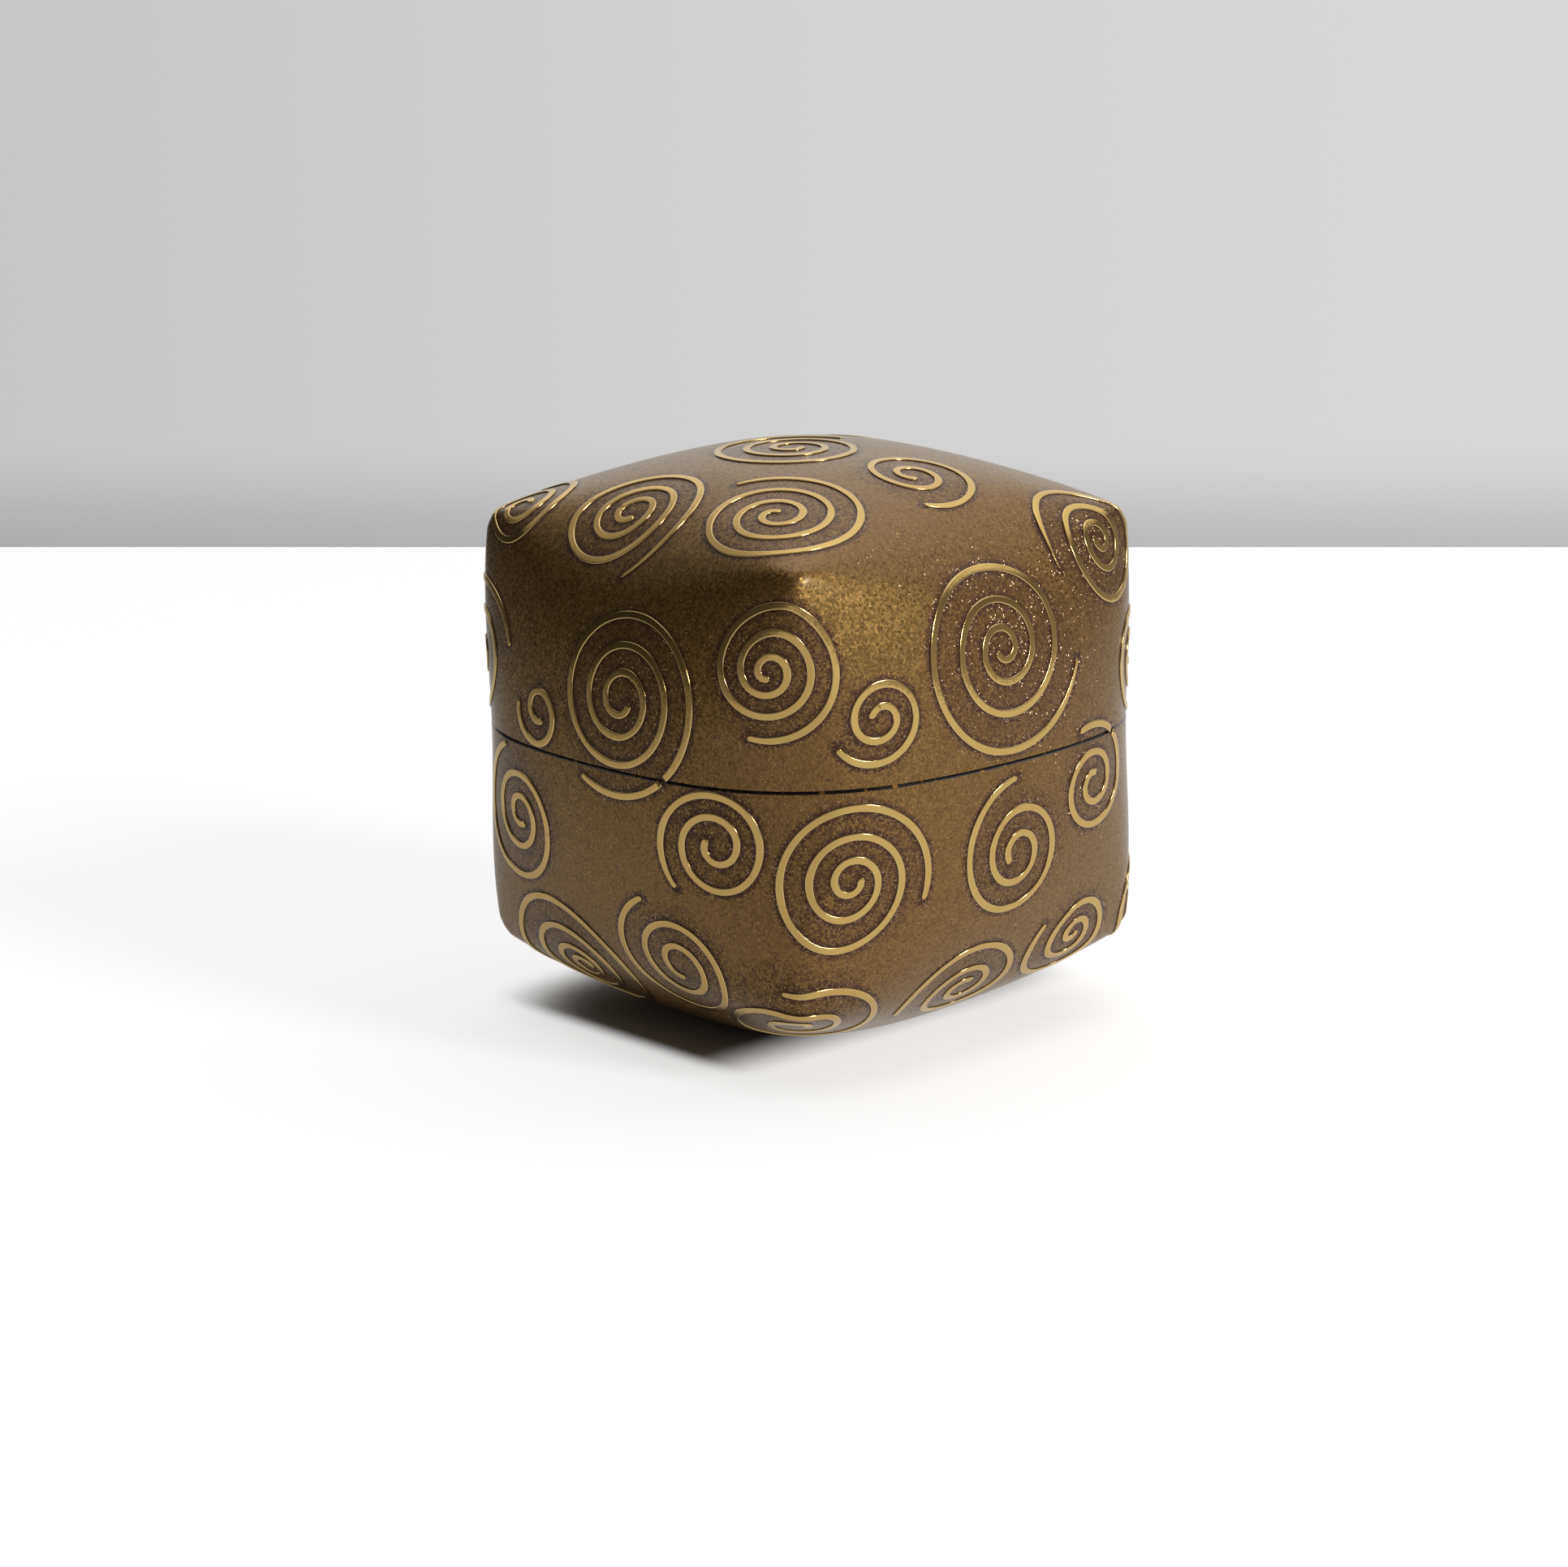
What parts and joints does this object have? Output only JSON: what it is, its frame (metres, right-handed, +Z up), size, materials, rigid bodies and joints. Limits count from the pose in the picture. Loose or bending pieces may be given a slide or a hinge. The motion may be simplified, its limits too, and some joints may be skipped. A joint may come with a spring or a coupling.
{
  "type": "lidded box",
  "caption": "Small cushion-shaped lacquered box with softly domed faces, peaked corners, raised gold spiral lines and a lift-off lid.",
  "frame": {"origin": "middle of the flat foot under the body, on the surface that the box stands on", "axes": "+Z up, the way the lid lifts off; X and Y square to the sides; the picture looks from -X -Y, with the -X side at its left and the -Y side at its right"},
  "size_m": [0.0814, 0.0816, 0.0804],
  "materials": {
    "lacquered_wood": "brown lacquer dusted with fine bronze-gold powder, satin gloss",
    "gold_line": "gold paste line with a flat burnished top",
    "black_lacquer": "plain black lacquer, glossy"
  },
  "bodies": {
    "box_body": {"body_shell": "lacquered_wood", "inner_rim": "black_lacquer", "back_spiral_2_tail_1": "gold_line", "back_spiral_3": "gold_line", "back_spiral_4": "gold_line", "back_spiral_5": "gold_line", "back_spiral_6": "gold_line", "base_spiral_1": "gold_line", "base_spiral_2": "gold_line", "base_spiral_3": "gold_line", "base_spiral_4": "gold_line", "base_spiral_5": "gold_line", "front_spiral_4": "gold_line", "front_spiral_5": "gold_line", "front_spiral_6": "gold_line", "front_spiral_7": "gold_line", "left_spiral_3_tail_1": "gold_line", "left_spiral_5": "gold_line", "left_spiral_6": "gold_line", "left_spiral_7": "gold_line", "left_spiral_8": "gold_line", "right_spiral_2": "gold_line", "right_spiral_5": "gold_line", "right_spiral_6": "gold_line", "right_spiral_7": "gold_line"},
    "lid": {"lid_shell": "lacquered_wood", "back_spiral_1": "gold_line", "back_spiral_2": "gold_line", "front_spiral_1": "gold_line", "front_spiral_2": "gold_line", "front_spiral_3": "gold_line", "front_spiral_6_tail_1": "gold_line", "left_spiral_1": "gold_line", "left_spiral_2": "gold_line", "left_spiral_3": "gold_line", "left_spiral_4": "gold_line", "right_spiral_1": "gold_line", "right_spiral_3": "gold_line", "right_spiral_4": "gold_line", "top_spiral_1": "gold_line", "top_spiral_10": "gold_line", "top_spiral_2": "gold_line", "top_spiral_3": "gold_line", "top_spiral_4": "gold_line", "top_spiral_5": "gold_line", "top_spiral_6": "gold_line", "top_spiral_7": "gold_line", "top_spiral_8": "gold_line", "top_spiral_9": "gold_line"}
  },
  "joints": [
    {"name": "lid_lift", "type": "slide", "parent": "box_body", "child": "lid", "axis": [0, 0, 1], "range_m": [0, 0.05]}
  ]
}
